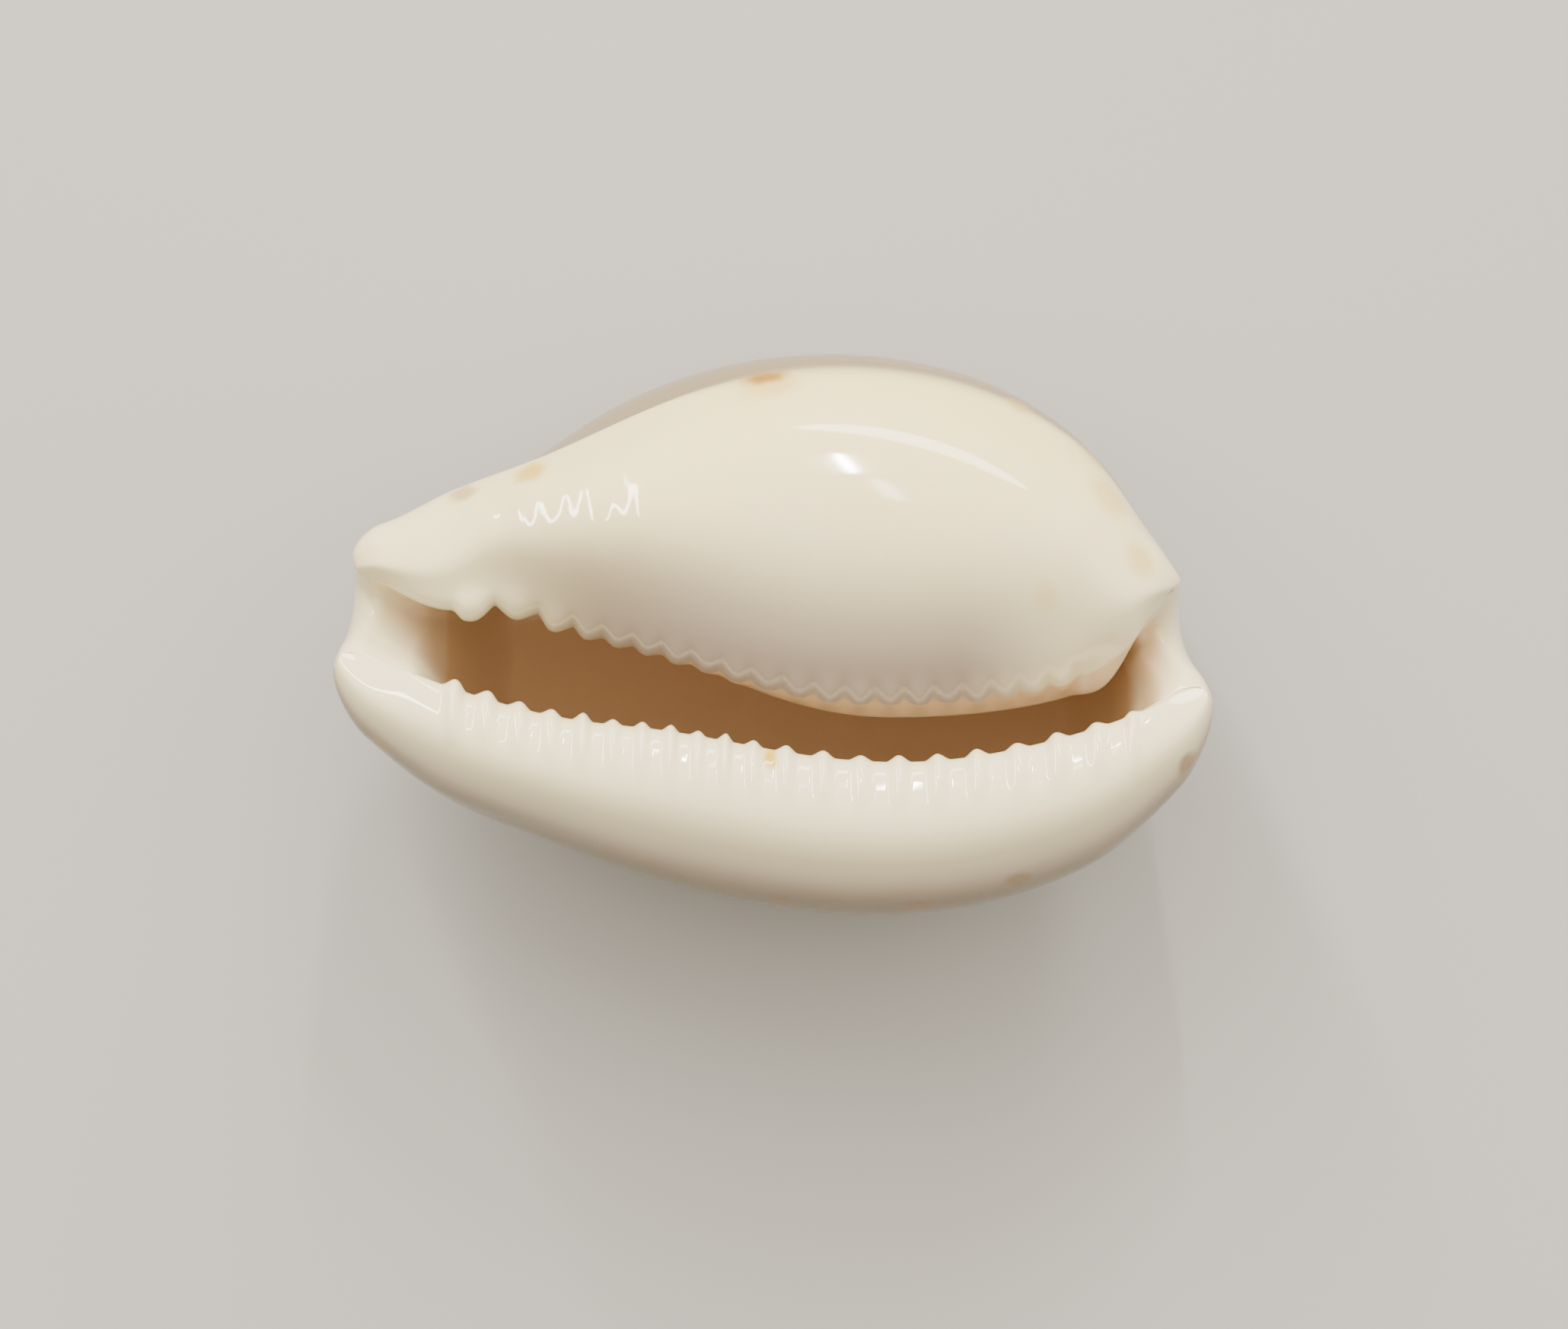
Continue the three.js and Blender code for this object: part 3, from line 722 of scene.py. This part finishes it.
def teeth_tree():
    """A tree that raises the teeth, and the identifiers of its named inputs."""
    tree = bpy.data.node_groups.new("cowrie_teeth", "GeometryNodeTree")
    sockets = {}

    def named_input(name, kind, value=None):
        socket = tree.interface.new_socket(name, in_out="INPUT", socket_type=kind)
        if value is not None:
            socket.default_value = value
        sockets[name] = socket.identifier

    named_input("Geometry", "NodeSocketGeometry")
    for lip in ("Outer", "Inner"):
        for end in ("front", "rear"):
            named_input(f"{lip} {end} tooth height", "NodeSocketFloat", 0.2 * MM)
            named_input(f"{lip} {end} sharpness", "NodeSocketFloat", 1.0)
            named_input(f"{lip} {end} gap", "NodeSocketFloat", 0.0)
        named_input(f"{lip} rib height", "NodeSocketFloat", 0.05 * MM)
    named_input("Welt height", "NodeSocketFloat", 0.1 * MM)
    named_input("Unevenness", "NodeSocketFloat", 0.2)
    named_input("Seed", "NodeSocketInt", 1)
    named_input("Enamel", "NodeSocketMaterial")
    tree.interface.new_socket("Geometry", in_out="OUTPUT", socket_type="NodeSocketGeometry")

    given = add(tree, "NodeGroupInput").outputs

    def read(name):
        node = add(tree, "GeometryNodeInputNamedAttribute", {"Name": name}, data_type="FLOAT")
        return node.outputs["Attribute"]

    def random_height(count, seed_step):
        """A height for each tooth, near 1."""
        low = calculate(tree, "SUBTRACT", 1.0, given["Unevenness"])
        high = calculate(tree, "ADD", 1.0, given["Unevenness"])
        number = calculate(tree, "ROUND", count)
        seed = calculate(tree, "ADD", given["Seed"], seed_step)
        node = add(tree, "FunctionNodeRandomValue", data_type="FLOAT")
        for socket, value in ((2, low), (3, high)):
            tree.links.new(value, node.inputs[socket])
        tree.links.new(number, node.inputs["ID"])
        tree.links.new(seed, node.inputs["Seed"])
        return node.outputs[1]

    x = add(
        tree, "ShaderNodeSeparateXYZ", {0: add(tree, "GeometryNodeInputPosition").outputs[0]}
    ).outputs["X"]
    towards_rear = ease(tree, x, FRONT_TEETH_END[0] * MM, FRONT_TEETH_END[1] * MM)

    def along(name):
        """An input that changes from its front value to its rear value along the shell."""
        front, rear = given[name.replace("*", "front")], given[name.replace("*", "rear")]
        step = calculate(tree, "SUBTRACT", rear, front)
        return calculate(tree, "MULTIPLY_ADD", step, towards_rear, front)

    raised = calculate(tree, "MULTIPLY", read("welt"), given["Welt height"])
    for step, lip in enumerate(("Outer", "Inner")):
        count = read(lip.lower() + "_tooth")
        wave = calculate(tree, "COSINE", calculate(tree, "MULTIPLY", count, 2 * math.pi))
        wave = calculate(tree, "MULTIPLY_ADD", wave, 0.5, 0.5)
        crown = calculate(tree, "POWER", wave, along(lip + " * sharpness"))
        crown = add(
            tree, "ShaderNodeMapRange", {"Value": crown, "From Min": along(lip + " * gap")}
        ).outputs["Result"]
        edge = calculate(
            tree, "MULTIPLY", read(lip.lower() + "_edge"), along(lip + " * tooth height")
        )
        rib = calculate(tree, "MULTIPLY", read(lip.lower() + "_rib"), given[lip + " rib height"])
        height = calculate(tree, "MULTIPLY", calculate(tree, "ADD", edge, rib), crown)
        height = calculate(tree, "MULTIPLY", height, random_height(count, step))
        raised = calculate(tree, "ADD", raised, height)
    outward = add(tree, "GeometryNodeInputNormal").outputs[0]
    offset = add(tree, "ShaderNodeVectorMath", {0: outward}, operation="SCALE")
    tree.links.new(raised, offset.inputs["Scale"])
    moved = add(
        tree, "GeometryNodeSetPosition",
        {"Geometry": given["Geometry"], "Offset": offset.outputs[0]},
    )
    real = add(tree, "GeometryNodeRealizeInstances", {"Geometry": moved.outputs[0]})
    painted = add(
        tree, "GeometryNodeSetMaterial",
        {"Geometry": real.outputs[0], "Material": given["Enamel"]},
    )
    add(tree, "NodeGroupOutput", {0: painted.outputs[0]})
    return tree, sockets


OUTER_TOOTH = {
    "front tooth height": 0.17 * MM, "rear tooth height": 0.09 * MM,
    "front sharpness": 1.1, "rear sharpness": 1.8,
    "front gap": 0.1, "rear gap": 0.1, "rib height": 0.12 * MM,
}
INNER_TOOTH = {
    "front tooth height": 0.47 * MM, "rear tooth height": 0.15 * MM,
    "front sharpness": 0.55, "rear sharpness": 0.7,
    "front gap": 0.0, "rear gap": 0.0, "rib height": 0.02 * MM,
}
WELT_HEIGHT = 0.13 * MM
UNEVENNESS = 0.2
TOOTH_SEED = 7


def raise_teeth(piece, enamel):
    """Gives the piece its teeth and its enamel, and leaves it a plain mesh."""
    tree, sockets = teeth_tree()
    modifier = piece.modifiers.new("teeth", "NODES")
    modifier.node_group = tree
    for lip, sizes in (("Outer ", OUTER_TOOTH), ("Inner ", INNER_TOOTH)):
        for name, value in sizes.items():
            modifier[sockets[lip + name]] = value
    modifier[sockets["Welt height"]] = WELT_HEIGHT
    modifier[sockets["Unevenness"]] = UNEVENNESS
    modifier[sockets["Seed"]] = TOOTH_SEED
    modifier[sockets["Enamel"]] = enamel
    evaluated = piece.evaluated_get(bpy.context.evaluated_depsgraph_get())
    mesh = bpy.data.meshes.new_from_object(evaluated)
    piece.modifiers.remove(modifier)
    piece.data = mesh
    mesh.name = "cowrie_shell"


raise_teeth(shell, porcelain())
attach(shell, "root")
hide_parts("shell")


# ---- Floor, lights and camera ----------------------------------------------------------
# A pale sheet under the shell and a soft bright sky on the inner lip's side. Four small soft
# lamps stand on that side, each for one of the reflections in the glaze, and the camera
# looks straight down through a long lens.

FLOOR_HALF = 0.6
FLOOR_GREY = (0.43, 0.43, 0.43, 1)
FLOOR_ROUGHNESS = 0.9
floor_mesh = bpy.data.meshes.new("floor")
floor_mesh.from_pydata(
    [(-FLOOR_HALF, -FLOOR_HALF, 0), (FLOOR_HALF, -FLOOR_HALF, 0),
     (FLOOR_HALF, FLOOR_HALF, 0), (-FLOOR_HALF, FLOOR_HALF, 0)],
    [], [(0, 1, 2, 3)],
)
floor = bpy.data.objects.new("floor", floor_mesh)
bpy.context.scene.collection.objects.link(floor)
paper = bpy.data.materials.new("floor_paper")
paper.use_nodes = True
paper_shader = paper.node_tree.nodes["Principled BSDF"]
paper_shader.inputs["Base Color"].default_value = FLOOR_GREY
paper_shader.inputs["Roughness"].default_value = FLOOR_ROUGHNESS
floor_mesh.materials.append(paper)


WARM = (1.0, 0.95, 0.86)
LAMPS_AIM = (0, 0, 0.01)


def lamp(name, place_at, width, height, watts, roll=0):
    """A soft oval lamp that faces the shell, rolled by some degrees about its axis."""
    data = bpy.data.lights.new(name, "AREA")
    data.shape = "ELLIPSE"
    data.size = width
    data.size_y = height
    data.energy = watts
    data.color = WARM
    light = bpy.data.objects.new(name, data)
    light.location = place_at
    facing = (Vector(LAMPS_AIM) - Vector(place_at)).to_track_quat("-Z", "Y")
    light.rotation_euler = (facing @ Quaternion((0, 0, 1), math.radians(roll))).to_euler()
    bpy.context.scene.collection.objects.link(light)


lamp("key", (0.023, 0.31, 0.265), 0.004, 0.1, 0.6, roll=9)
lamp("glow", (0.044, 0.22, 0.335), 0.01, 0.1, 0.07, roll=15)
lamp("strip", (0.078, 0.34, 0.14), 0.25, 0.045, 0.7, roll=-35)
lamp("tall", (-0.091, 0.207, 0.175), 0.016, 0.34, 0.8)

# The sky is dark on the outer lip's side and brightest where it faces BRIGHT_WAY.
SKY_DARK = (0.07, 0.06, 0.05)
SKY_BRIGHT = (3.2, 2.9, 2.35)
BRIGHT_WAY = (0.05, 0.66, 0.75)
SKY_STRENGTH = 1.05
world = bpy.data.worlds.new("studio")
world.use_nodes = True
sky = world.node_tree
way = add(sky, "ShaderNodeTexCoord").outputs["Generated"]
towards = add(
    sky, "ShaderNodeVectorMath", {0: way, 1: BRIGHT_WAY}, operation="DOT_PRODUCT"
)
glow = blend_colours(sky, ease(sky, towards.outputs["Value"], -0.1, 1.0), SKY_DARK, SKY_BRIGHT)
sky.links.new(glow, sky.nodes["Background"].inputs["Color"])
sky.nodes["Background"].inputs["Strength"].default_value = SKY_STRENGTH
bpy.context.scene.world = world

LENS = 200
SENSOR = 36
VIEW_WIDTH = 53.56 * MM
VIEW_MIDDLE = (0.39 * MM, -1.09 * MM)
VIEW_PLANE = 10 * MM
CLIP_START = 10 * MM
camera_data = bpy.data.cameras.new("camera")
camera_data.lens = LENS
camera_data.sensor_width = SENSOR
camera_data.clip_start = CLIP_START
camera = bpy.data.objects.new("camera", camera_data)
camera.location = (*VIEW_MIDDLE, VIEW_PLANE + VIEW_WIDTH * LENS / SENSOR)
bpy.context.scene.collection.objects.link(camera)
bpy.context.scene.camera = camera
